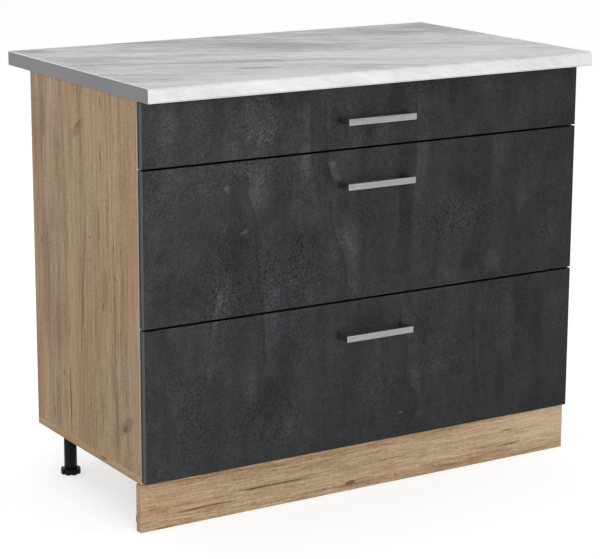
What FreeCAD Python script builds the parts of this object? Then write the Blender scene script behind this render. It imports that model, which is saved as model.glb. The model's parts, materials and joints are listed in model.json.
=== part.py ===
import FreeCAD, Part
import math
import os

# A kitchen base cabinet: three drawers on roller runners, a worktop with a rounded front edge, and four
# levelling legs behind a clipped-on plinth board.
# Sizes are millimetres. X runs to the right, Y to the back, Z up. The origin is on the floor, under the
# middle of the worktop.

V = FreeCAD.Vector

# ---------------------------------------------------------------- carcass boards
carcass_width = 1000.0
carcass_depth = 450.0
carcass_height = 725.0
leg_height = 95.0                 # floor to the underside of the carcass
board_thickness = 16.0
rail_depth = 100.0                # front to back, of each top rail
back_board_thickness = 3.0
back_board_inset = 10.0           # from the rear edges of the boards that hold it
groove_depth = 6.0
groove_play = 0.3                 # left at the bottom and on one side of every groove

# ---------------------------------------------------------------- worktop
worktop_depth = 600.0
worktop_thickness = 28.0
worktop_front_overhang = 39.0     # in front of the drawer fronts
worktop_side_overhang = 4.0       # beyond each side of the carcass
worktop_top_radius = 6.0
worktop_bottom_radius = 3.0
laminate_thickness = 1.0          # shows as a thin rim round each end strip
end_strip_thickness = 1.0

# ---------------------------------------------------------------- drawer fronts
front_thickness = 16.0
front_standoff = 1.0              # between the fronts and the carcass
front_side_reveal = 2.0           # how far each end stays back from the carcass side
front_bottom_reveal = 3.5
front_top_reveal = 3.0
front_gap = 3.0                   # between one front and the next
top_front_height = 121.5
front_edge_chamfer = 0.6

# ---------------------------------------------------------------- handles
handle_length = 155.0
handle_height = 12.5
handle_projection = 37.5
handle_bar_thickness = 7.0
handle_post_width = 9.0
handle_inner_radius = 6.0
handle_outer_radius = 1.5
handle_drop = 65.0                # from the top edge of its front down to the handle's middle

# ---------------------------------------------------------------- drawer boxes
drawer_board_thickness = 16.0
drawer_base_thickness = 4.0
drawer_base_rise = 12.0           # underside of the base above the lower edges of the drawer's sides
drawer_side_rise = 28.0           # lower edges of the drawer's sides above the lower edge of the front
deep_side_setdown = 82.5          # upper edges of a deep drawer's sides below the top of its front
top_side_headroom = 8.5           # above the top drawer's sides, under the front rail
drawer_edge_radius = 3.0
bracket_leg = 25.0
bracket_thickness = 1.5
bracket_height = 35.0
bracket_rise = 8.0                # above the drawer's base

# ---------------------------------------------------------------- roller runners
runner_space = 12.5               # between a cabinet side and a drawer side
runner_setback = 3.0              # behind the front edge of the carcass
runner_back_room = 34.0           # left between the runner and the back board
runner_closed_overlap = 100.0     # length of the drawer member that stays inside when the drawer is out
steel_thickness = 1.2
bend_radius = 2.0                 # on the outside of the drawer member's bends
roller_radius = 10.0
roller_width = 6.0
roller_play = 0.3                 # between a roller and the flange that it runs on
roller_headroom = 0.7             # between the rear roller and the flange above it
roller_inset = 14.0               # from the end of a member to its roller's axle
roller_end_play = 0.2
axle_radius = 2.5
axle_play = 0.05
flange_gap = 0.8                  # between the drawer member's running flange and the cabinet member
member_side_play = 0.5            # between the two members, side by side
channel_lip_height = 3.0
seat_drop = 6.0                   # underside of the drawer member's seat below the rear roller's axle
seat_edge_setback = 1.0           # edge of the seat, back from the drawer side's inner face
stop_height = 8.0
stop_play = 0.4

# ---------------------------------------------------------------- worktop brackets
worktop_bracket_leg = 30.0
worktop_bracket_width = 40.0
worktop_bracket_thickness = 2.0
worktop_bracket_inset = 60.0      # behind the front rail and in front of the rear rail

# ---------------------------------------------------------------- legs
leg_side_inset = 38.0             # from the carcass side to the middle of the leg
leg_front_inset = 52.0            # from the carcass front edge
leg_back_inset = 67.0             # from the carcass rear edge
leg_tube_radius = 13.0
leg_tube_bore = 10.0
socket_size = 60.0
socket_corner_cut = 10.0
socket_plate_thickness = 4.0
socket_plug_length = 20.0
socket_play = 0.05                # between the plug's corners and the bore
foot_radius = 20.0
foot_height = 11.0
foot_travel = 20.0                # how far a foot winds out of its tube
foot_engagement = 14.0            # length of shank left in the tube when the foot is wound out
foot_thread_play = 0.05
foot_seat_gap = 0.3
foot_notch_count = 8
foot_notch_width = 4.5
foot_notch_depth = 4.0

# ---------------------------------------------------------------- plinth
plinth_thickness = 16.0
plinth_top_gap = 1.0              # below the carcass
plinth_side_overhang = 2.5        # beyond each side of the carcass
plinth_projection = 1.0           # in front of the carcass front edge
clip_height = 18.0
clip_level = 45.0                 # middle of the clip above the floor
clip_wall = 2.4
clip_play = 0.3
clip_plate_width = 44.0
clip_plate_thickness = 3.0
clip_arm_width = 14.0
clip_mouth_width = 20.0

# ---------------------------------------------------------------- levels and places that follow
carcass_half = carcass_width / 2
inner_half = carcass_half - board_thickness
carcass_bottom_z = leg_height
carcass_top_z = leg_height + carcass_height
rail_bottom_z = carcass_top_z - board_thickness
floor_board_top_z = carcass_bottom_z + board_thickness

worktop_front_y = -worktop_depth / 2
worktop_back_y = worktop_depth / 2
worktop_top_z = carcass_top_z + worktop_thickness
worktop_half = carcass_half + worktop_side_overhang

front_face_y = worktop_front_y + worktop_front_overhang
front_back_y = front_face_y + front_thickness
carcass_front_y = front_back_y + front_standoff
carcass_back_y = carcass_front_y + carcass_depth
front_half = carcass_half - front_side_reveal

back_board_y = carcass_back_y - back_board_inset - back_board_thickness
groove_width_y = (back_board_y, back_board_y + back_board_thickness + groove_play)

runner_front_y = carcass_front_y + runner_setback
runner_back_y = back_board_y - runner_back_room
runner_length = runner_back_y - runner_front_y
drawer_travel = runner_length - runner_closed_overlap
drawer_back_y = front_back_y + runner_length

channel_floor = -(roller_radius + roller_play)
channel_roof = roller_radius + roller_headroom
running_flange = channel_roof + steel_thickness + flange_gap
front_roller_lift = running_flange - roller_play - roller_radius
roller_middle = runner_space / 2
drawer_web = runner_space - steel_thickness
channel_reach = drawer_web - member_side_play
front_axle_y = runner_front_y + roller_inset
rear_axle_y = drawer_back_y - roller_inset

drawer_outer_half = inner_half - runner_space
drawer_inner_half = drawer_outer_half - drawer_board_thickness

deep_front_height = (
    carcass_height - front_bottom_reveal - front_top_reveal - top_front_height - 2 * front_gap
) / 2

leg_x = carcass_half - leg_side_inset
leg_front_y = carcass_front_y + leg_front_inset
leg_back_y = carcass_back_y - leg_back_inset
leg_places = {
    "front_left": (-leg_x, leg_front_y),
    "front_right": (leg_x, leg_front_y),
    "rear_left": (-leg_x, leg_back_y),
    "rear_right": (leg_x, leg_back_y),
}

foot_shank_top = foot_height + foot_travel + foot_engagement

plinth_front_y = carcass_front_y - plinth_projection
plinth_back_y = plinth_front_y + plinth_thickness


class Drawer:
    """The levels of one drawer, all taken from the lower and upper edge of its front."""

    def __init__(self, name, front_low, front_height, side_top):
        self.name = name
        self.front_low = front_low
        self.front_high = front_low + front_height
        self.side_low = front_low + drawer_side_rise
        self.side_high = side_top
        self.base_low = self.side_low + drawer_base_rise
        self.base_high = self.base_low + drawer_base_thickness
        self.axle_z = self.side_low + seat_drop - steel_thickness
        self.handle_z = self.front_high - handle_drop


def drawer_stack():
    """The three drawers, from the lowest up."""
    drawers = []
    low = carcass_bottom_z + front_bottom_reveal
    for name in ("bottom", "middle"):
        high = low + deep_front_height
        drawers.append(Drawer(name, low, deep_front_height, high - deep_side_setdown))
        low = high + front_gap
    drawers.append(Drawer("top", low, top_front_height, rail_bottom_z - top_side_headroom))
    return drawers


# ---------------------------------------------------------------- shaping tools
def block(x_span, y_span, z_span):
    """A board between two corners, each span given as (low, high)."""
    corner = V(x_span[0], y_span[0], z_span[0])
    return Part.makeBox(x_span[1] - x_span[0], y_span[1] - y_span[0], z_span[1] - z_span[0], corner)


def rounded_face(corners, place):
    """A flat face with the given (a, b, radius) corners; place(a, b) puts a point of it in space."""
    starts, middles, ends = [], [], []
    for index, (a, b, radius) in enumerate(corners):
        corner = V(a, b, 0)
        before = V(*corners[index - 1][:2], 0) - corner
        after = V(*corners[(index + 1) % len(corners)][:2], 0) - corner
        before.normalize()
        after.normalize()
        half_angle = before.getAngle(after) / 2
        setback = radius / math.tan(half_angle)
        inward = before + after
        inward.normalize()
        starts.append(corner + before * setback)
        middles.append(corner + inward * (radius / math.sin(half_angle) - radius))
        ends.append(corner + after * setback)
    edges = []
    for index, (a, b, radius) in enumerate(corners):
        start, middle, end = (place(point.x, point.y) for point in (starts[index], middles[index], ends[index]))
        if radius > 0:
            edges.append(Part.Arc(start, middle, end).toShape())
        following = starts[(index + 1) % len(corners)]
        edges.append(Part.makeLine(end, place(following.x, following.y)))
    return Part.Face(Part.Wire(edges))


def turned(outline, point, direction):
    """A solid turned about the line from point along direction; the outline is (radius, distance) corners."""
    corners = [V(radius, 0, distance) for radius, distance in outline]
    face = Part.Face(Part.makePolygon(corners + corners[:1]))
    solid = face.revolve(V(0, 0, 0), V(0, 0, 1), 360)
    solid.Placement = FreeCAD.Placement(point, FreeCAD.Rotation(V(0, 0, 1), direction))
    return solid


def rod(radius, point, direction, length):
    return Part.makeCylinder(radius, length, point, direction)


def mirrored(shape):
    """The same piece on the other side of the cabinet."""
    return shape.mirror(V(0, 0, 0), V(1, 0, 0))


def both_sides(shapes):
    return shapes + [mirrored(shape) for shape in shapes]


def save(node, shapes):
    """Write one node; a list of solids is kept as a group of separate pieces."""
    shape = Part.makeCompound(shapes) if isinstance(shapes, list) else shapes
    shape.exportStep("parts/" + node + ".step")


# ---------------------------------------------------------------- worktop
def worktop_section(skin):
    """The worktop's section, with skin taken off all round but at the back."""
    front = worktop_front_y + skin
    bottom = carcass_top_z + skin
    top = worktop_top_z - skin
    return [
        (worktop_back_y, bottom, 0),
        (front, bottom, worktop_bottom_radius - skin),
        (front, top, worktop_top_radius - skin),
        (worktop_back_y, top, 0),
    ]


def end_strip():
    """The strip that closes the left end, let in behind the rim of the laminate."""
    section = rounded_face(worktop_section(laminate_thickness), lambda y, z: V(-worktop_half, y, z))
    return section.extrude(V(end_strip_thickness, 0, 0))


def worktop():
    section = rounded_face(worktop_section(0), lambda y, z: V(-worktop_half, y, z))
    return section.extrude(V(2 * worktop_half, 0, 0)).cut(both_sides([end_strip()]))


def worktop_bracket(y):
    """A steel angle that ties the worktop to the left side, centred at the depth y."""
    leg = worktop_bracket_leg
    t = worktop_bracket_thickness
    corners = [
        (-inner_half, carcass_top_z, 0),
        (-inner_half, carcass_top_z - leg, 0),
        (-inner_half + t, carcass_top_z - leg, 0),
        (-inner_half + t, carcass_top_z - t, 0),
        (-inner_half + leg, carcass_top_z - t, 0),
        (-inner_half + leg, carcass_top_z, 0),
    ]
    face = rounded_face(corners, lambda x, z: V(x, y - worktop_bracket_width / 2, z))
    return face.extrude(V(0, worktop_bracket_width, 0))


def worktop_brackets():
    front_y = carcass_front_y + rail_depth + worktop_bracket_inset
    back_y = back_board_y - rail_depth - worktop_bracket_inset
    return both_sides([worktop_bracket(front_y), worktop_bracket(back_y)])


# ---------------------------------------------------------------- carcass
def side_panel():
    """The left side, which stands on the bottom panel and is grooved for the back board."""
    panel = block(
        (-carcass_half, -inner_half),
        (carcass_front_y, carcass_back_y),
        (floor_board_top_z, carcass_top_z),
    )
    groove = block((-inner_half - groove_depth, -inner_half + 1), groove_width_y, (0, carcass_top_z + 1))
    return panel.cut(groove)


def bottom_panel():
    """The bottom, which runs through under both sides and is grooved for the back board."""
    board = block(
        (-carcass_half, carcass_half),
        (carcass_front_y, carcass_back_y),
        (carcass_bottom_z, floor_board_top_z),
    )
    groove = block(
        (-inner_half - groove_depth, inner_half + groove_depth),
        groove_width_y,
        (floor_board_top_z - groove_depth, floor_board_top_z + 1),
    )
    return board.cut(groove)


def top_rail(y_front):
    return block((-inner_half, inner_half), (y_front, y_front + rail_depth), (rail_bottom_z, carcass_top_z))


def back_board():
    """The thin back, let into grooves in the sides and the bottom panel."""
    reach = groove_depth - groove_play
    return block(
        (-inner_half - reach, inner_half + reach),
        (back_board_y, back_board_y + back_board_thickness),
        (floor_board_top_z - reach, carcass_top_z - groove_play),
    )


# ---------------------------------------------------------------- legs and plinth
def leg_socket(place):
    """A plate under the carcass, with the square plug that the leg tube is pushed on to."""
    x, y = place
    half = socket_size / 2
    inner = half - socket_corner_cut
    corners = []
    for a, b in ((1, 1), (-1, 1), (-1, -1), (1, -1)):
        ends = [(x + a * half, y + b * inner, 0), (x + a * inner, y + b * half, 0)]
        corners += ends if a * b > 0 else ends[::-1]
    plate_z = carcass_bottom_z - socket_plate_thickness
    plate = rounded_face(corners, lambda a, b: V(a, b, plate_z)).extrude(V(0, 0, socket_plate_thickness))
    reach = (leg_tube_bore - socket_play) / math.sqrt(2)
    plug = block((x - reach, x + reach), (y - reach, y + reach), (plate_z - socket_plug_length, plate_z))
    return plate.fuse(plug).removeSplitter()


def leg_tube(place):
    x, y = place
    low = foot_height + foot_seat_gap
    high = carcass_bottom_z - socket_plate_thickness
    outline = [(leg_tube_bore, low), (leg_tube_radius, low), (leg_tube_radius, high), (leg_tube_bore, high)]
    return turned(outline, V(x, y, 0), V(0, 0, 1))


def levelling_foot(place):
    """A foot that screws into the leg tube, with notches round its rim to turn it by."""
    x, y = place
    shank = leg_tube_bore - foot_thread_play
    outline = [
        (0, 0),
        (foot_radius, 0),
        (foot_radius, foot_height),
        (shank, foot_height),
        (shank, foot_shank_top),
        (0, foot_shank_top),
    ]
    foot = turned(outline, V(x, y, 0), V(0, 0, 1))
    notch = block(
        (x + foot_radius - foot_notch_depth, x + foot_radius + 1),
        (y - foot_notch_width / 2, y + foot_notch_width / 2),
        (-1, foot_height + 1),
    )
    notches = []
    for index in range(foot_notch_count):
        cutter = notch.copy()
        cutter.rotate(V(x, y, 0), V(0, 0, 1), (index + 0.5) * 360 / foot_notch_count)
        notches.append(cutter)
    return foot.cut(notches)


def plinth_board():
    half = carcass_half + plinth_side_overhang
    return block((-half, half), (plinth_front_y, plinth_back_y), (0, carcass_bottom_z - plinth_top_gap))


def plinth_clip(x):
    """A clip on the back of the plinth that snaps round the front leg."""
    low = clip_level - clip_height / 2
    inner = leg_tube_radius + clip_play
    outer = inner + clip_wall
    levels = (low, low + clip_height)
    half_plate = clip_plate_width / 2
    half_arm = clip_arm_width / 2
    half_mouth = clip_mouth_width / 2
    plate_back = plinth_back_y + clip_plate_thickness
    plate = block((x - half_plate, x + half_plate), (plinth_back_y, plate_back), levels)
    arm = block((x - half_arm, x + half_arm), (plinth_back_y, leg_front_y), levels)
    ring = rod(outer, V(x, leg_front_y, low), V(0, 0, 1), clip_height)
    bore = rod(inner, V(x, leg_front_y, low - 1), V(0, 0, 1), clip_height + 2)
    mouth = block((x - half_mouth, x + half_mouth), (leg_front_y, leg_front_y + outer + 1), (low - 1, levels[1] + 1))
    return ring.fuse([plate, arm]).cut([bore, mouth]).removeSplitter()


# ---------------------------------------------------------------- roller runners
# A runner is drawn in its own section: u is the distance from the cabinet side towards the drawer, and w the
# height above the rear roller's axle.
def along_runner(drawer, y):
    """Puts a point of the left runner's section in space at the depth y."""
    return lambda u, w: V(-inner_half + u, y, drawer.axle_z + w)


def runner_block(drawer, u_span, y_span, w_span):
    return block(
        (-inner_half + u_span[0], -inner_half + u_span[1]),
        y_span,
        (drawer.axle_z + w_span[0], drawer.axle_z + w_span[1]),
    )


def roller_axle(drawer, y, w, root, direction):
    """An axle from the middle of a web, at root, through its roller."""
    length = abs(roller_middle - root) + roller_width / 2 + roller_end_play
    return rod(axle_radius, along_runner(drawer, y)(root, w), V(direction, 0, 0), length)


def cabinet_member(drawer):
    """The channel on the cabinet side, with its front roller's axle and its stop."""
    t = steel_thickness
    low = channel_floor - t
    high = channel_roof + t
    section = [
        (0, low, 0),
        (channel_reach, low, 0),
        (channel_reach, channel_floor + channel_lip_height, 0),
        (channel_reach - t, channel_floor + channel_lip_height, 0),
        (channel_reach - t, channel_floor, 0),
        (t, channel_floor, 0),
        (t, channel_roof, 0),
        (channel_reach - t, channel_roof, 0),
        (channel_reach - t, high, 0),
        (0, high, 0),
    ]
    channel = rounded_face(section, along_runner(drawer, runner_front_y)).extrude(V(0, runner_length, 0))
    clear_y = front_axle_y + roller_radius + stop_play + t
    window = runner_block(
        drawer,
        (t, channel_reach),
        (runner_front_y - 1, clear_y),
        (channel_roof - t, high + 1),
    )
    stop_top = channel_floor + stop_height
    contact = math.sqrt(roller_radius ** 2 - stop_top ** 2)
    stop_y = rear_axle_y - drawer_travel - contact - stop_play
    stop_edge = channel_reach - 2 * t
    stop = runner_block(drawer, (t, stop_edge), (stop_y - t, stop_y), (channel_floor - t / 2, stop_top))
    axle = roller_axle(drawer, front_axle_y, front_roller_lift, t / 2, 1)
    return channel.cut(window).fuse([stop, axle]).removeSplitter()


def drawer_member(drawer):
    """The rail under the drawer side, with its running flange and its rear roller's axle."""
    t = steel_thickness
    seat_edge = runner_space + drawer_board_thickness - seat_edge_setback
    section = [
        (drawer_web, -seat_drop, bend_radius),
        (seat_edge, -seat_drop, 0),
        (seat_edge, -seat_drop + t, 0),
        (runner_space, -seat_drop + t, 0),
        (runner_space, running_flange + t, bend_radius),
        (t + member_side_play, running_flange + t, 0),
        (t + member_side_play, running_flange, 0),
        (drawer_web, running_flange, 0),
    ]
    length = drawer_back_y - front_back_y
    rail = rounded_face(section, along_runner(drawer, front_back_y)).extrude(V(0, length, 0))
    axle = roller_axle(drawer, rear_axle_y, 0, runner_space - t / 2, -1)
    return rail.fuse(axle).removeSplitter()


def roller(drawer, y, w):
    """A nylon roller on its axle."""
    half = roller_width / 2
    bore = axle_radius + axle_play
    outline = [(bore, -half), (roller_radius, -half), (roller_radius, half), (bore, half)]
    return turned(outline, along_runner(drawer, y)(roller_middle, w), V(1, 0, 0))


# ---------------------------------------------------------------- drawers
def handle(drawer):
    """A bow handle: one bar bent back to the front at both ends."""
    half = handle_length / 2
    inner = half - handle_post_width
    shelf = handle_projection - handle_bar_thickness
    corners = [
        (-half, 0, 0),
        (-half, handle_projection, handle_outer_radius),
        (half, handle_projection, handle_outer_radius),
        (half, 0, 0),
        (inner, 0, 0),
        (inner, shelf, handle_inner_radius),
        (-inner, shelf, handle_inner_radius),
        (-inner, 0, 0),
    ]
    low = drawer.handle_z - handle_height / 2
    face = rounded_face(corners, lambda x, out: V(x, front_face_y - out, low))
    return face.extrude(V(0, 0, handle_height))


def drawer_front(drawer):
    """A drawer front, grooved for the base."""
    panel = block((-front_half, front_half), (front_face_y, front_back_y), (drawer.front_low, drawer.front_high))
    outer_edges = [edge for edge in panel.Edges if edge.BoundBox.YMax < front_face_y + 0.001]
    panel = panel.makeChamfer(front_edge_chamfer, outer_edges)
    reach = drawer_inner_half + groove_depth
    groove = block(
        (-reach, reach),
        (front_back_y - groove_depth, front_back_y + 1),
        (drawer.base_low, drawer.base_high + groove_play),
    )
    return panel.cut(groove)


def drawer_side(drawer):
    """The left side of a drawer box, rounded along its top and grooved for the base."""
    outer = -drawer_outer_half
    inner = -drawer_inner_half
    section = [
        (outer, drawer.side_low, 0),
        (inner, drawer.side_low, 0),
        (inner, drawer.side_high, drawer_edge_radius),
        (outer, drawer.side_high, drawer_edge_radius),
    ]
    board = rounded_face(section, lambda x, z: V(x, front_back_y, z)).extrude(V(0, runner_length, 0))
    groove = block(
        (inner - groove_depth, inner + 1),
        (front_back_y - 1, drawer_back_y + 1),
        (drawer.base_low, drawer.base_high + groove_play),
    )
    return board.cut(groove)


def drawer_back(drawer):
    """The back of a drawer box, between its sides and down to its base."""
    front = drawer_back_y - drawer_board_thickness
    section = [
        (front, drawer.base_high, 0),
        (drawer_back_y, drawer.base_high, 0),
        (drawer_back_y, drawer.side_high, drawer_edge_radius),
        (front, drawer.side_high, drawer_edge_radius),
    ]
    face = rounded_face(section, lambda y, z: V(-drawer_inner_half, y, z))
    return face.extrude(V(2 * drawer_inner_half, 0, 0))


def drawer_base(drawer):
    reach = drawer_inner_half + groove_depth - groove_play
    return block(
        (-reach, reach),
        (front_back_y - groove_depth + groove_play, drawer_back_y),
        (drawer.base_low, drawer.base_high),
    )


def front_bracket(drawer):
    """The steel angle that ties the left side of a drawer box to its front."""
    x = -drawer_inner_half
    y = front_back_y
    t = bracket_thickness
    corners = [
        (x, y, 0),
        (x + bracket_leg, y, 0),
        (x + bracket_leg, y + t, 0),
        (x + t, y + t, 0),
        (x + t, y + bracket_leg, 0),
        (x, y + bracket_leg, 0),
    ]
    low = drawer.base_high + bracket_rise
    return rounded_face(corners, lambda a, b: V(a, b, low)).extrude(V(0, 0, bracket_height))


# ---------------------------------------------------------------- the whole cabinet
def save_carcass():
    strip = end_strip()
    side = side_panel()
    save("worktop", worktop())
    save("worktop_end_left", strip)
    save("worktop_end_right", mirrored(strip))
    save("worktop_brackets", worktop_brackets())
    save("side_panel_left", side)
    save("side_panel_right", mirrored(side))
    save("bottom_panel", bottom_panel())
    save("top_rail_front", top_rail(carcass_front_y))
    save("top_rail_rear", top_rail(back_board_y - rail_depth))
    save("back_board", back_board())


def save_legs_and_plinth():
    save("leg_sockets", [leg_socket(place) for place in leg_places.values()])
    save("leg_tubes", [leg_tube(place) for place in leg_places.values()])
    for name, place in leg_places.items():
        save("foot_" + name, levelling_foot(place))
    save("plinth_board", plinth_board())
    save("plinth_clips", [plinth_clip(-leg_x), plinth_clip(leg_x)])


def save_drawer(drawer):
    side = drawer_side(drawer)
    save("front_" + drawer.name, drawer_front(drawer))
    save("handle_" + drawer.name, handle(drawer))
    save("drawer_side_left_" + drawer.name, side)
    save("drawer_side_right_" + drawer.name, mirrored(side))
    save("drawer_back_" + drawer.name, drawer_back(drawer))
    save("drawer_base_" + drawer.name, drawer_base(drawer))
    save("front_brackets_" + drawer.name, both_sides([front_bracket(drawer)]))
    save("cabinet_runners_" + drawer.name, both_sides([cabinet_member(drawer)]))
    save("drawer_runners_" + drawer.name, both_sides([drawer_member(drawer)]))
    save("front_rollers_" + drawer.name, both_sides([roller(drawer, front_axle_y, front_roller_lift)]))
    save("rear_rollers_" + drawer.name, both_sides([roller(drawer, rear_axle_y, 0)]))


os.makedirs("parts", exist_ok=True)
save_carcass()
save_legs_and_plinth()
for one_drawer in drawer_stack():
    save_drawer(one_drawer)
print("drawer travel", drawer_travel, "foot travel", foot_travel)
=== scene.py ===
# %% [markdown]
# # A kitchen base cabinet, dressed
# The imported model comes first. It is a fixed frame of plain solids in metres, with X to the right, Y to the
# back, Z up and the floor at zero. Everything below gives those solids their finishes, or puts a finer piece
# where one of them is.

# %% Load the frame
import json
import math

import bmesh
import bpy
from mathutils import Matrix, Vector

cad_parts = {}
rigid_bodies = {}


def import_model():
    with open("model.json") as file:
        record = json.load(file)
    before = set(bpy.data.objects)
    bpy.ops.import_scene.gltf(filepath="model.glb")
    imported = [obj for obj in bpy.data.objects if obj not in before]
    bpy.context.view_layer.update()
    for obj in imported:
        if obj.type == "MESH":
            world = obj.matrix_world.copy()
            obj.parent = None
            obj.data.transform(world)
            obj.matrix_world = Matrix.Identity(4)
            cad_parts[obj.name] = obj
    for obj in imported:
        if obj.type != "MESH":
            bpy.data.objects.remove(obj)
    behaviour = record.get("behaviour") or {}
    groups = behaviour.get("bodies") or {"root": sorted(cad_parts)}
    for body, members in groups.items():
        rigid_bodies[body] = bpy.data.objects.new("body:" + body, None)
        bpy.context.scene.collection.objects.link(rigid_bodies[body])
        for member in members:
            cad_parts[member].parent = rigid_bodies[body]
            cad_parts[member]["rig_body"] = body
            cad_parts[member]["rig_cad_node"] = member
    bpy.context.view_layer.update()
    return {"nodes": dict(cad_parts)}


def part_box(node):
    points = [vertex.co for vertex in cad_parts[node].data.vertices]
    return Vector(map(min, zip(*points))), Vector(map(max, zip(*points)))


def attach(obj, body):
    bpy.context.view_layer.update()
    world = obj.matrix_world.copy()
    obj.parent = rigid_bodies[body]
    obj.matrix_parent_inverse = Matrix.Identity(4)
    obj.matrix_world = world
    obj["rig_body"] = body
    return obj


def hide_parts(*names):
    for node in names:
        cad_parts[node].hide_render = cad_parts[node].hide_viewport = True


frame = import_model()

nodes = frame["nodes"]
MM = 0.001
LEVELS = ("bottom", "middle", "top")
WHITE = (1.0, 1.0, 1.0, 1.0)

# %% [markdown]
# ## Materials as small node trees
# Board decors are printed paper under a clear coat, so each finish is a pattern of noise in two or three sizes
# that sets the colour, and a faint relief. All of them read Object coordinates, which here are the same for
# every piece, so a pattern runs on from one drawer front to the next, as on boards cut from one sheet. A small
# class keeps the node work short to write and to read.


# %% A class for a finish in the making
def srgb(red, green, blue):
    """A colour as a screen shows it, 0 to 255, turned into the linear values that a shader takes."""
    values = [value / 255 for value in (red, green, blue)]
    return tuple(v / 12.92 if v <= 0.04045 else ((v + 0.055) / 1.055) ** 2.4 for v in values) + (1.0,)


def lengthwise(across, slow, along):
    """A number for each axis, the slow one for the axis that the grain runs along."""
    numbers = [across] * 3
    numbers[along] = slow
    return numbers


class Finish:
    """One material, with short names for the nodes that it is made of."""

    def __init__(self, name, roughness, metallic=0.0, gloss=0.5):
        self.material = bpy.data.materials.new(name)
        self.material.use_nodes = True
        self.nodes = self.material.node_tree.nodes
        self.links = self.material.node_tree.links
        self.shader = self.nodes["Principled BSDF"]
        self.shader.inputs["Roughness"].default_value = roughness
        self.shader.inputs["Metallic"].default_value = metallic
        self.shader.inputs["Specular IOR Level"].default_value = gloss
        self.place = self.nodes.new("ShaderNodeTexCoord").outputs["Object"]

    def node(self, kind, settings=None, **inputs):
        """Add a node. An input is a value or another node's output, and _0 means the first socket."""
        made = self.nodes.new("ShaderNode" + kind)
        for key, value in (settings or {}).items():
            setattr(made, key, value)
        for key, value in inputs.items():
            self.give(made.inputs[int(key[1:]) if key[1:].isdigit() else key], value)
        return made

    def give(self, socket, value):
        if isinstance(value, bpy.types.NodeSocket):
            self.links.new(value, socket)
        else:
            socket.default_value = value

    def mapped(self, place, scale=(1.0, 1.0, 1.0), turn=(0.0, 0.0, 0.0)):
        """A place multiplied by scale and then turned."""
        made = self.node("Mapping", {"vector_type": "POINT"}, Vector=place, Scale=scale, Rotation=turn)
        return made.outputs[0]

    def noise(self, place, scale, detail, roughness=0.5):
        made = self.node("TexNoise", Vector=place, Scale=scale, Detail=detail, Roughness=roughness)
        return made.outputs["Fac"]

    def stretched(self, place, scale, detail, roughness=0.5):
        """Noise with a fineness of its own along X, Y and Z."""
        return self.noise(self.mapped(place, scale), 1.0, detail, roughness)

    def wobbled(self, place, scale, reach):
        """A place pushed about by up to half of reach, so that lines and patches lose their straight edges."""
        pushes = self.node("TexNoise", Vector=place, Scale=scale, Detail=3.0).outputs["Color"]
        centred = self.vector("SUBTRACT", pushes, (0.5, 0.5, 0.5))
        return self.vector("ADD", place, self.vector("MULTIPLY", centred, reach))

    def vector(self, operation, first, second):
        return self.node("VectorMath", {"operation": operation}, _0=first, _1=second).outputs[0]

    def math(self, operation, first, second=0.0, third=0.0):
        return self.node("Math", {"operation": operation}, _0=first, _1=second, _2=third).outputs[0]

    def plus(self, first, second):
        return self.math("ADD", first, second)

    def minus(self, first, second):
        return self.math("SUBTRACT", first, second)

    def times(self, first, second):
        return self.math("MULTIPLY", first, second)

    def added(self, value, more, share):
        """A value plus a share of another."""
        return self.plus(value, self.times(more, share))

    def total(self, parts, offset):
        """All the parts, each times its share, and an offset."""
        value, *others = [self.times(part, share) for part, share in parts]
        for other in others:
            value = self.plus(value, other)
        return self.plus(value, offset)

    def band(self, value, low, high, to_low=0.0, to_high=1.0):
        """Stretch the span low to high of a value to to_low to to_high, smoothly and with its ends held."""
        made = self.node("MapRange", {"interpolation_type": "SMOOTHSTEP"}, Value=value)
        for socket, number in zip(made.inputs[1:5], (low, high, to_low, to_high)):
            socket.default_value = number
        return made.outputs[0]

    def ramp(self, value, stops):
        """Colours, as a screen shows them, at places along 0 to 1."""
        made = self.node("ValToRGB", Fac=value)
        elements = made.color_ramp.elements
        while len(elements) < len(stops):
            elements.new(0.5)
        for element, (position, colour) in zip(elements, stops):
            element.position = position
            element.color = srgb(*colour)
        return made.outputs[0]

    def mix(self, share, first, second, blend="MIX"):
        made = self.nodes.new("ShaderNodeMix")
        made.data_type = "RGBA"
        made.blend_type = blend
        for name, value in (("Factor_Float", share), ("A_Color", first), ("B_Color", second)):
            self.give(next(s for s in made.inputs if s.identifier == name), value)
        return next(s for s in made.outputs if s.identifier == "Result_Color")

    def patch(self, place, middle, size, turn=(0.0, 0.0, 0.0)):
        """A soft patch, 1 in its middle and 0 at its edge, from its middle and its half sizes in metres."""
        moved = self.vector("SUBTRACT", place, middle)
        if any(turn):
            turned = self.node("VectorRotate", {"rotation_type": "EULER_XYZ"}, Vector=moved, Rotation=turn)
            moved = turned.outputs[0]
        scaled = self.vector("DIVIDE", moved, size)
        return self.node("TexGradient", {"gradient_type": "SPHERICAL"}, Vector=scaled).outputs["Fac"]

    def drawn_line(self, value, points):
        """A drawn line: the place across it for each value along it, both between 0 and 1."""
        made = self.node("FloatCurve", Value=value)
        curve = made.mapping.curves[0]
        while len(curve.points) < len(points):
            curve.points.new(0.5, 0.5)
        for point, (along, across) in zip(curve.points, sorted(points)):
            point.location = (along, across)
        made.mapping.update()
        return made.outputs[0]

    def colour(self, value):
        self.give(self.shader.inputs["Base Color"], value)

    def rough(self, value):
        self.give(self.shader.inputs["Roughness"], value)

    def relief(self, height, depth):
        """Bump from a height between 0 and 1; depth is in metres."""
        made = self.node("Bump", Height=height, Strength=1.0, Distance=depth)
        self.links.new(made.outputs[0], self.shader.inputs["Normal"])
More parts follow.
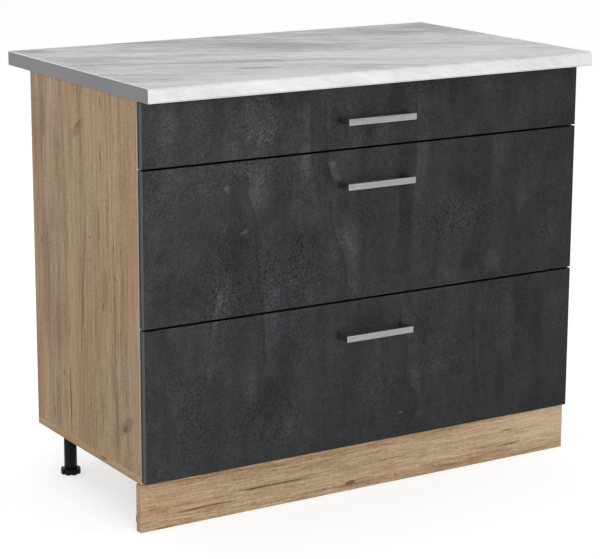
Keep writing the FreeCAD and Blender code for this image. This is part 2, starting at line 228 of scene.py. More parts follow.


# %% [markdown]
# ## Dark concrete decor
# The fronts show a print of trowelled concrete: near black, clouded from top to bottom, with a sandy grain and
# pale drips, each sharp along one side, where the trowel stopped, and soft along the other. Noise alone gives
# clouds that lie anywhere. So each drip that the decor is known by gets its sharp side as a drawn line from
# the top of the cabinet to the bottom, soft patches lie between, and noise frays them all.

# %% Concrete marks
# All in millimetres. A drip is its sharp side as (z, x) points, its soft width and its strength. A minus sign
# puts the width to the left of the sharp side, or makes the drip a dark one.
DRIPS = [
    ([(817, -283), (750, -282), (670, -279)], 50, 0.05),
    ([(692, -281), (647, -276), (577, -261), (487, -252), (317, -243), (250, -250)], 55, 0.105),
    ([(800, -143), (720, -138), (670, -135), (620, -126), (595, -118)], -34, 0.13),
    ([(640, -130), (610, -124), (592, -118)], -14, 0.12),
    ([(700, -94), (667, -97), (640, -89), (618, -82)], 20, 0.27),
    ([(610, -92), (560, -88), (510, -74), (460, -58), (400, -53)], 34, 0.13),
    ([(470, -370), (450, -348), (434, -344), (400, -356), (340, -362), (260, -375)], 18, 0.11),
    ([(317, -308), (300, -262), (260, -255), (220, -262)], -26, 0.09),
    ([(390, 67), (340, 74), (290, 90), (250, 87), (210, 93), (170, 113), (110, 101)], 32, 0.14),
    ([(330, 254), (260, 257), (210, 262), (170, 264), (130, 280)], 13, 0.12),
    ([(810, 105), (700, 104), (560, 102)], 45, 0.11),
    ([(817, -388), (700, -383), (600, -380)], 18, 0.05),
    ([(817, -100), (750, -106), (690, -98)], 12, 0.1),
    ([(700, -118), (620, -112)], 24, -0.14),
    ([(690, 60), (550, 62), (420, 56)], 42, -0.16),
    ([(390, 352), (280, 354)], 34, -0.15),
    ([(817, 270), (740, 262), (700, 255)], 20, 0.07),
]
# A patch is x, z, half its width and height, and its strength.
PATCHES = [
    (-330, 760, 200, 80, 0.03), (-323, 642, 9, 8, 0.26), (-286, 559, 8, 7, 0.34), (72, 149, 9, 4, 0.6),
    (-208, 537, 6, 10, 0.22), (297, 437, 26, 32, 0.2), (362, 577, 22, 75, 0.15), (110, 215, 20, 50, 0.16),
    (327, 257, 36, 30, 0.12), (300, 330, 70, 80, 0.07), (-283, 247, 36, 55, 0.07), (-370, 322, 20, 75, 0.1),
    (-68, 132, 22, 18, 0.14), (-40, 520, 30, 45, 0.12), (-185, 165, 30, 40, 0.12), (-302, 517, 55, 80, -0.09),
    (-148, 507, 45, 60, -0.12), (-248, 187, 100, 90, -0.06), (-427, 454, 60, 70, -0.1),
    (0, 345, 60, 50, -0.09), (-70, 590, 30, 40, -0.12), (220, 600, 60, 40, -0.1), (240, 440, 30, 40, -0.12),
    (430, 700, 90, 100, -0.06), (60, 790, 60, 40, -0.1),
]
# Where the sand stands out most: x, z, half the width and height.
SANDY = [
    (-300, 480, 110, 130), (-150, 470, 60, 100), (220, 540, 120, 80), (-240, 770, 120, 70),
]


# %% Concrete
def concrete():
    finish = Finish("concrete_face", 0.58, gloss=0.2)
    bent = finish.wobbled(finish.place, 15.0, (0.018, 0.018, 0.022))
    frayed = finish.wobbled(finish.wobbled(bent, 62.0, (0.009, 0.009, 0.012)), 240.0, (0.003, 0.003, 0.004))
    level = finish.node("SeparateXYZ", Vector=frayed).outputs
    clouds = finish.stretched(bent, (7.0, 5.0, 2.2), 4.0, 0.55)
    drapes = finish.stretched(frayed, (26.0, 18.0, 4.0), 5.0, 0.62)
    plates = finish.stretched(frayed, (16.0, 12.0, 10.0), 6.0, 0.66)
    crust = finish.stretched(frayed, (75.0, 60.0, 55.0), 4.0, 0.66)
    value = finish.total([(clouds, 0.22), (drapes, 0.36), (plates, 0.42), (crust, 0.34)], -0.175)
    worn = finish.band(plates, 0.36, 0.62, 0.35, 1.2)
    for points, width, strength in DRIPS:
        top, bottom, width = points[0][0] * MM, points[-1][0] * MM, width * MM
        edge = math.copysign(1 * MM, width)
        # A drawn line holds places from 0 to 1 only, so half a metre is added to X.
        side = finish.drawn_line(level["Z"], [(z * MM, x * MM + 0.5) for z, x in points])
        inward = finish.minus(finish.plus(level["X"], 0.5), side)
        sharp, soft = finish.band(inward, 0.0, 2 * edge), finish.band(inward, width, width * 0.5)
        shape = finish.times(sharp, soft)
        if strength > 0:
            # A pale drip has a fine dark line beside its sharp side.
            beside = finish.math("ABSOLUTE", finish.plus(inward, 2 * edge))
            shape = finish.plus(shape, finish.band(beside, 5 * MM, 1 * MM, 0.0, -0.6))
        shape = finish.times(shape, finish.band(level["Z"], bottom - 4 * MM, bottom + 30 * MM))
        shape = finish.times(shape, finish.band(level["Z"], top + 20 * MM, top - 40 * MM))
        value = finish.added(value, finish.times(shape, worn), strength)
    face_y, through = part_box("front_middle")[0].y, 0.5

    def spot(x, z, half_width, half_height):
        return finish.patch(frayed, (x * MM, face_y, z * MM), (half_width * MM, through, half_height * MM))

    for *place, strength in PATCHES:
        value = finish.added(value, finish.band(spot(*place), 0.0, 0.8), strength)
    sandy = finish.band(finish.noise(bent, 8.0, 3.0), 0.45, 0.62, 0.45, 1.0)
    for place in SANDY:
        sandy = finish.plus(sandy, finish.band(spot(*place), 0.1, 0.5, 0.0, 0.6))
    sand = finish.stretched(finish.place, (300.0, 300.0, 240.0), 3.0, 0.6)
    pits = finish.times(finish.band(sand, 0.50, 0.34), finish.band(sandy, 0.6, 1.6, 0.25, 1.0))
    grit = finish.stretched(finish.place, (620.0, 620.0, 480.0), 2.0, 0.6)
    speckle = finish.times(finish.minus(sand, 0.5), sandy)
    value = finish.added(value, speckle, 0.70)
    value = finish.added(value, pits, -0.25)
    value = finish.added(value, finish.minus(grit, 0.5), 0.60)
    # Painted shade: the colour grows darker to the right, away from the light on the left, and a little paler
    # upwards.
    value = finish.added(value, level["X"], -0.20)
    value = finish.plus(value, finish.math("MULTIPLY_ADD", level["Z"], 0.09, -0.04))
    stops = [
        (0.10, (20, 21, 22)), (0.36, (34, 35, 37)), (0.52, (45, 46, 48)),
        (0.70, (60, 61, 63)), (1.0, (96, 97, 98)),
    ]
    colour = finish.ramp(value, stops)
    blue = finish.band(finish.stretched(bent, (7.0, 7.0, 3.0), 2.0), 0.52, 0.66, 0.0, 0.30)
    colour = finish.mix(blue, colour, srgb(88, 100, 124), "SOFT_LIGHT")
    finish.colour(colour)
    finish.rough(finish.band(value, 0.2, 0.8, 0.64, 0.52))
    finish.relief(finish.added(sand, drapes, 0.5), 0.00006)
    return finish.material


concrete_face = concrete()

# %% [markdown]
# ## Oak decor
# The carcass and the plinth carry one print of knotty oak. On the side it stands upright and on the plinth it
# lies along the board, so the same function makes both and takes the direction of the grain. Wood is built of
# long, stretched noise: wide tones, narrower streaks, fine fibres and short dark pores, and then the cracks
# and knots, which are thin patches bent by noise. Real veneer could be copied from a picture of it, but a
# pattern made of nodes has no seams and stays sharp close up.


# %% Oak
def oak(name, along, marks=(), tint=WHITE, streaky=0.34, threads=0.0, flecked=0.16):
    """Grain along X, Y or Z, as along is 0, 1 or 2; marks are (middle, half sizes, turn, strength, tone)."""
    finish = Finish(name, 0.5, gloss=0.25)
    frayed = finish.wobbled(finish.place, 3.5, lengthwise(0.012, 0.04, along))
    frayed = finish.wobbled(frayed, 13.0, (0.0056, 0.0056, 0.0056))
    frayed = finish.wobbled(frayed, 45.0, (0.0018, 0.0018, 0.0018))

    def grain(across, slow, detail, roughness=0.5):
        return finish.stretched(frayed, lengthwise(across, slow, along), detail, roughness)

    tones = grain(11.0, 0.8, 3.0)
    streaks = grain(58.0, 2.0, 4.0, 0.6)
    fibres = grain(260.0, 8.0, 4.0, 0.65)
    ripple = grain(150.0, 150.0, 3.0, 0.6)
    pores = grain(1100.0, 60.0, 2.0)
    flecks = finish.band(grain(115.0, 11.0, 3.0, 0.6), 0.60, 0.76)
    parts = [(tones, 0.46), (streaks, streaky), (fibres, 0.50), (ripple, 0.26)]
    value = finish.total(parts, -0.09 - streaky / 2)
    if threads:
        value = finish.added(value, finish.minus(grain(640.0, 16.0, 2.0), 0.5), threads)
    value = finish.added(value, finish.band(pores, 0.58, 0.72), -0.10)
    value = finish.added(value, flecks, -flecked)
    stops = [
        (0.26, (112, 86, 60)), (0.42, (150, 123, 93)), (0.52, (173, 147, 117)),
        (0.62, (187, 162, 132)), (0.80, (208, 184, 154)),
    ]
    colour = finish.ramp(value, stops)
    hue = grain(17.0, 1.6, 2.0)
    colour = finish.mix(finish.band(hue, 0.57, 0.72, 0.0, 0.32), colour, srgb(176, 128, 96), "SOFT_LIGHT")
    colour = finish.mix(finish.band(hue, 0.44, 0.30, 0.0, 0.34), colour, srgb(118, 120, 98), "SOFT_LIGHT")
    wild = finish.wobbled(finish.place, 18.0, (0.005, 0.005, 0.005))
    hairs = finish.band(fibres, 0.35, 0.65, 0.6, 1.0)
    for middle, size, turn, strength, tone in marks:
        spot = finish.band(finish.patch(wild, middle, size, turn), 0.04, 0.5, 0.0, min(1.0, 1.2 * strength))
        colour = finish.mix(finish.times(spot, hairs), colour, tone)
    if tint != WHITE:
        colour = finish.mix(1.0, colour, tint, "MULTIPLY")
    finish.colour(colour)
    finish.rough(finish.band(fibres, 0.3, 0.7, 0.56, 0.46))
    finish.relief(finish.added(finish.times(fibres, 0.6), pores, 0.4), 0.00005)
    return finish.material


# %% Marks of the oak
bark = srgb(92, 60, 34)
moss = srgb(104, 88, 60)
rust = srgb(132, 88, 62)
amber = srgb(186, 142, 92)
russet = srgb(162, 118, 88)
left_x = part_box("side_panel_left")[0].x
plinth_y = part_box("plinth_board")[0].y
lean = math.radians(55)
# On the sides: y, z, half width, half height in millimetres, lean, strength, tone.
left_marks = [
    (-12, 412, 3.2, 175, -0.1, 0.75, bark), (-14, 380, 4, 40, -0.1, 0.6, bark),
    (50, 185, 4.4, 100, 0.01, 0.9, bark), (-91, 186, 2.8, 52, 0.03, 0.6, bark),
    (36, 401, 3.4, 22, 0, 0.55, bark), (50, 500, 2, 45, 0, 0.45, bark), (-97, 695, 4.5, 42, 0.05, 0.6, bark),
    (-87, 560, 3.4, 50, -0.04, 0.55, bark), (-100, 408, 5, 9, 0, 0.75, bark),
    (-181, 480, 2.2, 105, 0.02, 0.45, bark), (-190, 645, 3.4, 30, 0, 0.5, bark),
    (-160, 350, 2.6, 40, 0.05, 0.45, bark), (-4, 736, 16, 38, -lean, 0.5, moss),
    (-7, 744, 5.5, 18, -lean, 0.6, bark), (-192, 196, 17, 38, -lean, 0.52, moss),
    (-184, 188, 6.5, 17, -lean, 0.66, bark), (-47, 532, 4.2, 4.2, 0, 0.75, bark),
    (87, 692, 11, 7, 0, 0.45, rust), (115, 540, 7, 40, 0, 0.45, rust), (169, 486, 4.6, 10, 0, 0.8, bark),
    (78, 232, 5, 9, 0, 0.7, bark), (126, 142, 5, 17, 0.1, 0.65, rust), (186, 270, 4, 12, 0, 0.65, rust),
    (-150, 470, 6, 6, 0, 0.55, bark), (-100, 795, 6, 20, 0.2, 0.45, bark), (150, 420, 20, 200, 0, 0.35, moss),
    (152, 740, 14, 60, 0, 0.45, moss), (100, 330, 22, 70, 0, 0.35, rust), (-110, 445, 16, 50, 0, 0.4, rust),
    (-222, 450, 6, 60, 0, 0.4, rust), (188, 660, 7, 70, 0, 0.4, rust), (-49, 698, 1.8, 34, 0, 0.4, bark),
    (-205, 560, 40, 300, 0, 0.22, amber), (-60, 740, 70, 80, 0, 0.24, amber),
    (20, 300, 50, 260, 0, 0.2, amber), (186, 640, 20, 220, 0, 0.46, russet),
    (190, 230, 16, 160, 0, 0.34, russet), (-75, 420, 30, 200, 0, 0.24, russet),
]
right_marks = [
    (30, 600, 3, 90, 0.06, 0.65, bark), (-90, 400, 8, 18, 0.6, 0.65, moss),
    (120, 300, 2.6, 90, -0.05, 0.6, bark),
]
knot_below = (-90, 104, 16, 3.5, 0.1, 0.8, bark)
# On the plinth: x, z, half length, half height in millimetres, lean, strength, tone.
plinth_marks = [
    (-215, 44.5, 120, 2.4, -0.012, 0.95, bark), (-245, 43.5, 34, 2.4, 0.03, 0.7, bark),
    (-358, 27.5, 80, 2, -0.005, 0.85, bark), (-392, 27, 26, 2.2, 0.01, 0.7, bark),
    (-33, 16, 16, 6.2, 0.1, 0.85, bark), (-30, 11, 50, 1.8, 0.02, 0.8, bark),
    (-10, 15, 45, 10, 0.05, 0.22, rust), (45, 80, 42, 1.8, 0, 0.6, rust), (20, 84, 50, 1.2, 0.01, 0.45, rust),
    (55, 31, 30, 6, 0.1, 0.22, rust), (362, 30, 36, 2.2, 0.05, 0.75, bark), (330, 32, 50, 7, 0.04, 0.24, rust),
    (356, 61.5, 20, 1.6, 0, 0.75, bark), (330, 37, 110, 1.2, 0.04, 0.45, rust),
    (310, 21, 120, 1.4, -0.05, 0.45, rust), (320, 50, 100, 1.2, -0.06, 0.4, rust),
    (-450, 3, 30, 2, 0, 0.7, bark), (-100, 70, 120, 1.2, 0.02, 0.35, rust),
]


def on_side(side_x, reach, rows):
    """Marks on an upright board, which reach so far into it."""
    return [
        ((side_x, y * MM, z * MM), (reach, width * MM, height * MM), (turn, 0, 0), force, tone)
        for y, z, width, height, turn, force, tone in rows
    ]


def on_plinth(reach, rows):
    return [
        ((x * MM, plinth_y, z * MM), (length * MM, reach, height * MM), (0, turn, 0), force, tone)
        for x, z, length, height, turn, force, tone in rows
    ]


side_marks = on_side(left_x, 0.3, left_marks) + on_side(-left_x, 0.2, right_marks)
oak_upright = oak("oak_upright", 2, side_marks, (0.93, 0.89, 0.83, 1.0))
lying_marks = on_plinth(0.3, plinth_marks)
oak_lying = oak("oak_lying", 0, lying_marks, (1.08, 1.09, 1.10, 1.0), streaky=0.15, threads=0.46, flecked=0.07)
oak_inside = oak("oak_inside", 0)
oak_edge_band = oak("oak_edge_band", 1, on_side(left_x, 0.3, [knot_below]), (0.86, 0.80, 0.74, 1.0))

# %% [markdown]
# ## Marble decor for the worktop
# The worktop's laminate is a pale grey marble. Its veins run slantwise from the back on the left to the front
# on the right, and one dusky belt crosses them behind the middle. The laminate is one sheet pulled over the
# front edge, so the pattern has to run down over the nose as well. Adding the height to Y does that: on the
# top the sum is Y alone, and down the nose it goes on falling, as Y does towards the front.


# %% Marble
def marble():
    finish = Finish("marble_laminate", 0.42, gloss=0.3)
    top_y, top_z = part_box("worktop")[0].y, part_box("worktop")[1].z
    axes = finish.node("SeparateXYZ", Vector=finish.place).outputs
    depth = finish.plus(axes["Y"], finish.minus(axes["Z"], top_z))
    sheet = finish.node("CombineXYZ", X=axes["X"], Y=depth, Z=0.0).outputs[0]
    bent = finish.wobbled(finish.wobbled(sheet, 2.6, (0.10, 0.07, 0.0)), 12.0, (0.024, 0.02, 0.0))
    flow = finish.mapped(bent, turn=(0.0, 0.0, math.radians(19)))
    steep = finish.mapped(bent, turn=(0.0, 0.0, math.radians(36)))
    clouds = finish.stretched(flow, (1.8, 6.0, 1.0), 4.0, 0.5)
    veins = finish.stretched(flow, (3.6, 22.0, 1.0), 6.0, 0.66)
    crossing = finish.stretched(steep, (4.5, 30.0, 1.0), 5.0, 0.64)
    hairs = finish.stretched(flow, (14.0, 110.0, 1.0), 5.0, 0.66)
    specks = finish.stretched(bent, (70.0, 90.0, 1.0), 4.0, 0.6)
    parts = [(clouds, 0.60), (veins, 0.80), (crossing, 0.60), (hairs, 0.80), (specks, 0.42)]
    value = finish.total(parts, -1.09)
    # x, y, half length and half width in millimetres, slant in degrees, strength
    belts = [
        (16, 100, 200, 75, 38, -0.272), (-194, 265, 95, 22, 22, -0.32), (-174, -70, 370, 30, 17, -0.208),
        (-194, -160, 65, 14, 20, -0.256), (-84, -30, 260, 45, 20, 0.144), (-350, 150, 160, 70, 15, 0.096),
        (-300, -270, 260, 60, 10, 0.192), (200, -140, 240, 70, 15, 0.112), (300, 180, 230, 60, 15, -0.192),
        (460, 240, 80, 50, 15, -0.16), (-20, -240, 90, 40, 25, -0.096), (-470, 270, 60, 40, 15, -0.192),
        (-420, 20, 110, 16, 20, -0.16),
    ]
    for x, y, half_length, half_width, slant, strength in belts:
        size = (half_length * MM, half_width * MM, 1.0)
        belt = finish.patch(bent, (x * MM, y * MM, 0), size, (0, 0, math.radians(slant)))
        value = finish.added(value, finish.band(belt, 0.0, 0.8), strength)
    value = finish.added(value, depth, -0.48)
    # Down the nose the print is calmer, and paler as painted light on the nose, which faces the lamps.
    nose = finish.band(depth, top_y + 4 * MM, top_y - 6 * MM)
    calm_painted_light = finish.plus(finish.times(value, 0.62), 0.30)
    value = finish.added(finish.times(value, finish.minus(1.0, nose)), calm_painted_light, nose)
    stops = [
        (0.22, (150, 148, 153)), (0.38, (184, 181, 186)), (0.50, (206, 203, 207)),
        (0.62, (220, 218, 221)), (0.86, (236, 235, 237)),
    ]
    finish.colour(finish.ramp(value, stops))
    finish.rough(finish.band(veins, 0.3, 0.7, 0.46, 0.38))
    finish.relief(finish.noise(finish.place, 320.0, 2.0), 0.00003)
    return finish.material


marble_laminate = marble()

# %% [markdown]
# ## Chipboard, foil, metals and plastics
# Cut edges that nobody sees from the front are bare chipboard: chips of three or four tones pressed together,
# which cells of a Voronoi texture give at once. The drawer boxes are foiled white, the runners are powder
# coated, and the handles are satin metal with a fine lengthwise brushing.


# %% Other finishes
def chipboard():
    finish = Finish("chipboard", 0.85, gloss=0.2)
    frayed = finish.wobbled(finish.place, 120.0, (0.006, 0.006, 0.006))
    place = finish.mapped(frayed, (420.0, 420.0, 900.0))
    chips = finish.node("TexVoronoi", {"feature": "F1"}, Vector=place)
    tone = finish.node("SeparateColor", Color=chips.outputs["Color"]).outputs[0]
    stops = [(0.0, (140, 108, 74)), (0.5, (184, 150, 108)), (1.0, (212, 184, 144))]
    finish.colour(finish.ramp(tone, stops))
    finish.relief(tone, 0.0002)
    return finish.material


def paper():
    finish = Finish("backing_paper", 0.7, gloss=0.2)
    speckle = finish.noise(finish.place, 160.0, 4.0)
    finish.colour(finish.ramp(speckle, [(0.3, (122, 98, 74)), (0.7, (142, 117, 91))]))
    finish.relief(speckle, 0.00005)
    return finish.material


def foil(name, low, high, roughness):
    """A plain foil or plastic edging with a faint orange peel."""
    finish = Finish(name, roughness, gloss=0.4)
    cloud = finish.noise(finish.place, 6.0, 2.0)
    peel = finish.noise(finish.place, 900.0, 2.0)
    tone = finish.added(finish.times(cloud, 0.6), peel, 0.4)
    finish.colour(finish.ramp(tone, [(0.3, low), (0.7, high)]))
    finish.rough(finish.band(peel, 0.3, 0.7, roughness + 0.05, roughness - 0.05))
    finish.relief(peel, 0.00003)
    return finish.material


def brushed(name, low, high, roughness, along):
    """Satin metal; the brushing runs along axis 0, 1 or 2."""
    finish = Finish(name, roughness, metallic=1.0)
    lines = finish.stretched(finish.place, lengthwise(2600.0, 30.0, along), 3.0, 0.6)
    cloud = finish.noise(finish.place, 60.0, 2.0)
    wide = finish.stretched(finish.place, lengthwise(330.0, 6.0, along), 2.0)
    tone = finish.added(finish.times(lines, 0.4), cloud, 0.2)
    tone = finish.added(tone, wide, 0.4)
    finish.colour(finish.ramp(tone, [(0.3, low), (0.7, high)]))
    finish.rough(finish.band(lines, 0.3, 0.7, roughness - 0.05, roughness + 0.07))
    finish.relief(lines, 0.00003)
    return finish.material


def plastic(name, low, high, roughness, gloss=0.4):
    """Moulded plastic with a fine eroded texture."""
    finish = Finish(name, roughness, gloss=gloss)
    grain = finish.noise(finish.place, 1400.0, 3.0, 0.7)
    flow = finish.stretched(finish.place, (60.0, 60.0, 18.0), 3.0)
    finish.colour(finish.ramp(flow, [(0.3, low), (0.7, high)]))
    finish.rough(finish.band(grain, 0.3, 0.7, roughness - 0.08, roughness + 0.08))
    finish.relief(grain, 0.00006)
    return finish.material


def front_edging():
    """Slate edging for the fronts' ends, with the gap's shadow painted dark brown on its half towards the
    carcass.
    """
    finish = Finish("slate_edging_painted_shadow", 0.5, gloss=0.25)
    face_y, back_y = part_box("front_middle")[0].y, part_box("front_middle")[1].y
    cloud = finish.noise(finish.place, 40.0, 3.0)
    slate = finish.ramp(cloud, [(0.3, (60, 69, 74)), (0.7, (68, 78, 83))])
    depth = finish.node("SeparateXYZ", Vector=finish.place).outputs["Y"]
    # Painted shadow: the half of the edge towards the carcass is darkened as the gap's shade.
    painted_gap_shadow = finish.band(depth, face_y + 0.50 * (back_y - face_y), face_y + 0.72 * (back_y - face_y))
    finish.colour(finish.mix(painted_gap_shadow, slate, srgb(27, 24, 20)))
    return finish.material


bare_chipboard = chipboard()
end_edging_painted_shadow = front_edging()
backing_paper = paper()
grey_edging = foil("grey_edging", (120, 121, 120), (128, 129, 128), 0.5)
# Near-white laminate rim: the laminate's pale core, raised to a painted highlight.
rim_and_highlight = foil("laminate_rim_and_highlight", (250, 250, 250), (254, 254, 254), 0.3)
oak_edging = foil("oak_edging", (214, 188, 156), (226, 202, 172), 0.42)
# Near-black edging for the fronts' top and bottom edges: painted shade of the gaps between the fronts.
gap_shade_edging = plastic("gap_shade_edging", (5, 5, 6), (8, 8, 9), 0.6, 0.1)
white_foil = foil("white_foil", (228, 228, 225), (235, 235, 232), 0.4)
satin_metal = brushed("satin_metal", (134, 134, 134), (178, 178, 177), 0.32, 0)
zinc_plate = brushed("zinc_plate", (168, 170, 173), (206, 208, 211), 0.32, 2)
powder_coat = plastic("powder_coat", (222, 222, 218), (232, 232, 229), 0.42)
white_nylon = plastic("white_nylon", (214, 214, 208), (228, 228, 222), 0.4)
black_plastic = plastic("black_plastic", (11, 11, 11), (19, 18, 17), 0.45, 0.15)
print("finishes:", len(bpy.data.materials))

# %% [markdown]
# ## Helpers for modelling
# Each piece starts as a primitive or as a merged copy of a CAD node, and is shaped in edit mode. Operators work
# on all that is selected, so everything is deselected first. Faces and edges are picked in code, by where they
# are and which way they face. At the end every piece has its place in its mesh and its object at the origin.


# %% Selecting and starting pieces
def alone(piece=None):
    """Leave only this piece selected and active."""
    if bpy.context.mode != "OBJECT":
        bpy.ops.object.mode_set(mode="OBJECT")
    bpy.ops.object.select_all(action="DESELECT")
    bpy.context.view_layer.objects.active = piece
    if piece is not None:
        piece.select_set(True)


def settle(piece):
    """Put a piece's place into its mesh."""
    alone(piece)
    bpy.ops.object.transform_apply(location=True, rotation=True, scale=True)
    return piece


def block(name, low, high):
    """A cuboid between two corners, in metres."""
    alone()
    low, high = Vector(low), Vector(high)
    bpy.ops.mesh.primitive_cube_add(size=1, location=(low + high) / 2)
    piece = bpy.context.object
    piece.name = piece.data.name = name
    piece.scale = high - low
    return settle(piece)


def round_bar(name, radius, low, high, sides=64):
    """An upright cylinder on the origin's axis, from low to high."""
    alone()
    bpy.ops.mesh.primitive_cylinder_add(
        vertices=sides, radius=radius, depth=high - low, location=(0, 0, (low + high) / 2)
    )
    piece = bpy.context.object
    piece.name = piece.data.name = name
    return settle(piece)


def whole_copy(node, name):
    """A copy of a CAD node with its loose triangles merged into flat faces."""
    alone(nodes[node])
    bpy.ops.object.duplicate()
    piece = bpy.context.object
    piece.name = piece.data.name = name
    piece.parent = None
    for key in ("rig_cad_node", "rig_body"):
        if key in piece:
            del piece[key]
    bpy.ops.object.mode_set(mode="EDIT")
    bpy.ops.mesh.select_all(action="SELECT")
    bpy.ops.mesh.remove_doubles(threshold=0.000002)
    bpy.ops.mesh.dissolve_limited(angle_limit=math.radians(1.0))
    bpy.ops.object.mode_set(mode="OBJECT")
    return piece


def middle_of(node):
    low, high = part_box(node)
    return (low + high) / 2


# %% Shaping pieces
def pick(piece, want, kind="FACE"):
    """Select the faces, edges or vertices for which want(element) is true, and stay in edit mode."""
    alone(piece)
    bpy.ops.object.mode_set(mode="EDIT")
    bpy.ops.mesh.select_mode(type=kind)
    bpy.ops.mesh.select_all(action="DESELECT")
    mesh = bmesh.from_edit_mesh(piece.data)
    elements = {"FACE": mesh.faces, "EDGE": mesh.edges, "VERT": mesh.verts}[kind]
    for element in [element for element in elements if want(element)]:
        element.select_set(True)
    mesh.select_flush_mode()
    bmesh.update_edit_mesh(piece.data)


def eased(piece, width, segments=2, angle=30):
    """Break all the sharp edges by a small rounding, as a sander or a mould does."""
    alone(piece)
    modifier = piece.modifiers.new("ease", "BEVEL")
    modifier.width = width
    modifier.segments = segments
    modifier.limit_method = "ANGLE"
    modifier.angle_limit = math.radians(angle)
    modifier.miter_outer = "MITER_SHARP"
    bpy.ops.object.modifier_apply(modifier=modifier.name)


def round_edges(piece, want, width, segments):
    """Bevel the edges that have both ends where want(place) is true; the width is in millimetres."""
    pick(piece, lambda e: all(want(v.co) for v in e.verts), "EDGE")
    bpy.ops.mesh.bevel(offset=width * MM, segments=segments, affect="EDGES")


def smooth(piece, angle=35):
    alone(piece)
    bpy.ops.object.shade_smooth_by_angle(angle=math.radians(angle))
    return piece


def finished(piece, body, material, stands_for=()):
    """Give a piece its material, its body and the nodes that it stands for."""
    piece.data.materials.clear()
    piece.data.materials.append(material)
    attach(piece, body)
    if stands_for:
        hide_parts(*stands_for)
    return piece


def from_cad(node, name, body, material, slot, ease=0.0, segments=2, angle=30, smoothing=0):
    """A piece made of a CAD node itself, with its edges eased by so many millimetres."""
    piece = whole_copy(node, name)
    if ease:
        eased(piece, ease * MM, segments, angle)
    if smoothing:
        smooth(piece, smoothing)
    return finished(piece, body, material, [node])


def copy_of(model, name, shift=(0, 0, 0), looking=(0, 0, 1)):
    """A copy with a mesh of its own, turned from looking up to looking another way, and moved by shift."""
    alone(model)
    bpy.ops.object.duplicate()
    piece = bpy.context.object
    piece.name = piece.data.name = name
    piece.rotation_euler = Vector((0, 0, 1)).rotation_difference(Vector(looking)).to_euler()
    piece.location = shift
    return settle(piece)


def put_away(model):
    """Delete a model once all its copies are made."""
    alone(model)
    bpy.ops.object.delete()


def paint(piece, material, want):
    """Give the faces that want(face) picks a material of their own."""
    if material.name not in [m.name for m in piece.data.materials]:
        piece.data.materials.append(material)
    index = [m.name for m in piece.data.materials].index(material.name)
    for face in piece.data.polygons:
        if want(face):
            face.material_index = index


def joined(name, parts):
    """Make one piece out of several."""
    alone(parts[0])
    for part in parts:
        part.select_set(True)
    bpy.ops.object.join()
    piece = bpy.context.object
    piece.name = piece.data.name = name
    return piece


# %% [markdown]
# ## The worktop
# A worktop of this kind is chipboard with laminate pulled round its front edge, so the front is one long nose
# that turns over at the top and under at the bottom. Its ends are cut square and closed with grey edging, and
# the laminate shows there as a pale line, painted near white with its eased corner as a painted highlight. A
# cuboid with two bevelled edges gives the nose, and an inset on each end face draws the line.

# %% Worktop
low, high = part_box("worktop")
worktop = block("worktop_board", low, high)
round_edges(worktop, lambda co: co.y < low.y + 1e-6 and co.z > high.z - 1e-6, 6, 12)
round_edges(worktop, lambda co: co.y < low.y + 1e-6 and co.z < low.z + 1e-6, 3, 8)
round_edges(worktop, lambda co: abs(co.x) > high.x - 1e-6, 0.4, 2)
pick(worktop, lambda f: abs(f.normal.x) > 0.99)
bpy.ops.mesh.inset(thickness=0.6 * MM, use_boundary=True)
bpy.ops.mesh.extrude_region_shrink_fatten(TRANSFORM_OT_shrink_fatten={"value": -0.6 * MM})
smooth(worktop, 30)
finished(worktop, "carcass", marble_laminate, ["worktop"])
# The laminate's rim and the eased corner beside it: its pale tone raised to near white as a painted highlight.
paint(worktop, rim_and_highlight, lambda f: abs(f.normal.x) > 0.3)
rim = 1.2 * MM
paint(
    worktop,
    grey_edging,
    lambda f: abs(f.normal.x) > 0.3 and (f.center.z < low.z + rim or f.center.y > high.y - rim),
)
paint(worktop, bare_chipboard, lambda f: f.normal.y > 0.9)
paint(worktop, backing_paper, lambda f: f.normal.z < -0.99)
for side in ("left", "right"):
    name = "worktop_edging_" + side
    from_cad("worktop_end_" + side, name, "carcass", grey_edging, "worktop_edge", smoothing=30)
print("worktop faces:", len(worktop.data.polygons))

# %% [markdown]
# ## The drawer fronts
# Each front is a board with the decor on both faces and edging round its four edges: slate grey on the ends,
# with the gap's shadow painted dark on their half towards the carcass, and black on the top and the bottom
# edge, which is painted shade of the gaps between the fronts. Seen from the left the painted shadow makes the
# dark line beside the oak, and the eased corner catches a thin cool light. The front is a merged copy of the
# CAD solid, because that has the groove for the drawer's base, and only its edges are worked: the rim of the
# face is eased, and the four narrow sides are painted as edging.

# %% Drawer fronts
for level in LEVELS:
    node = "front_" + level
    low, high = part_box(node)
    front = from_cad(node, "front_board_" + level, "drawer_" + level, concrete_face, "concrete_front", 0.3)
    paint(front, bare_chipboard, lambda f: abs(f.normal.y) < 0.5)
    # The ends get slate edging with the gap's shadow painted on their rear half.
    paint(front, end_edging_painted_shadow, lambda f: abs(f.normal.x) > 0.5 and abs(f.center.x) > high.x - 1 * MM)
    # The top and bottom edges are near black: painted shade of the gaps between the fronts.
    paint(
        front,
        gap_shade_edging,
        lambda f: abs(f.normal.z) > 0.5 and min(f.center.z - low.z, high.z - f.center.z) < 1 * MM,
    )

# %% [markdown]
# ## The handles
# A handle is one flat bar bent back at both ends. It starts as a cuboid for the bar, its end faces are
# extruded into the corners and then back to the front, and bevels round the bends. That keeps the bar and its
# posts one even width, which a boolean of two boxes would also give, but with a seam. One bow is modelled and
# copied to all three fronts.


